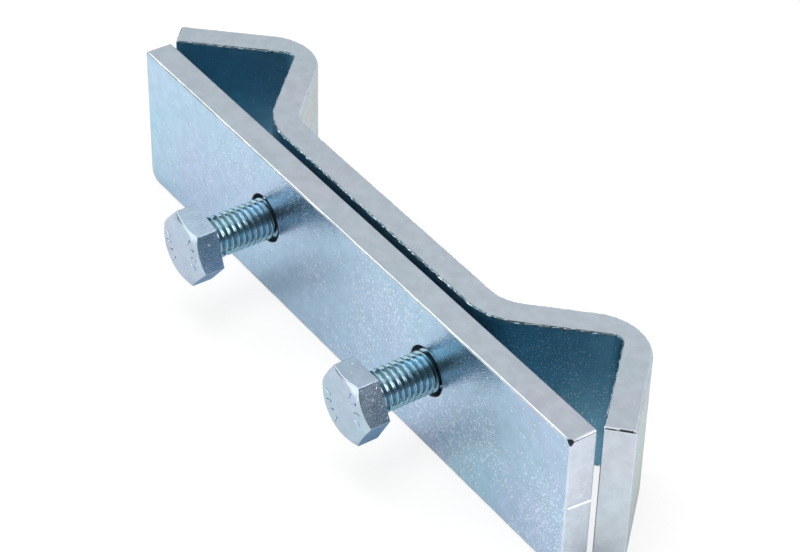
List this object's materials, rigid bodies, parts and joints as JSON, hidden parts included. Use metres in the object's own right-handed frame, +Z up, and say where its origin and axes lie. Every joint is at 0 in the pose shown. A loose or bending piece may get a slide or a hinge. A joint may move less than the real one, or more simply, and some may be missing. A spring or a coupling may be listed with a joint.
{
  "type": "railing clamp",
  "caption": "Zinc-plated railing clamp: a flat plate and a cranked strap with a V-shaped pocket at each end, drawn together by hex bolts to grip parallel rails or bars.",
  "frame": {"origin": "middle of the plate's lower long edge, on which the clamp stands", "axes": "+X along the plate, +Z up along its width, and the bolt heads on the -Y side"},
  "size_m": [0.1428, 0.0452, 0.03],
  "materials": {
    "plate_zinc": "bright blue-passivated zinc plating on rolled flat bar",
    "strap_zinc": "bright blue-passivated zinc plating on bent flat bar",
    "bolt_zinc": "bright blue-passivated zinc plating on a cold-formed bolt"
  },
  "bodies": {
    "strap": {"clamp_strap": "strap_zinc"},
    "plate": {"clamp_plate": "plate_zinc"},
    "left_bolt": {"left_bolt": "bolt_zinc"},
    "right_bolt": {"right_bolt": "bolt_zinc"}
  },
  "joints": [
    {"name": "plate_slide", "type": "slide", "parent": "strap", "child": "plate", "axis": [0, -1, 0], "range_m": [-0.0008, 0.0119]},
    {"name": "left_bolt_turn", "type": "hinge", "parent": "strap", "child": "left_bolt", "pos_m": [-0.0247, 0, 0.0166], "axis": [0, 1, 0], "range_deg": [-2935, 3685]},
    {"name": "right_bolt_turn", "type": "hinge", "parent": "strap", "child": "right_bolt", "pos_m": [0.0277, 0, 0.0166], "axis": [0, 1, 0], "range_deg": [-3135, 3480]}
  ]
}
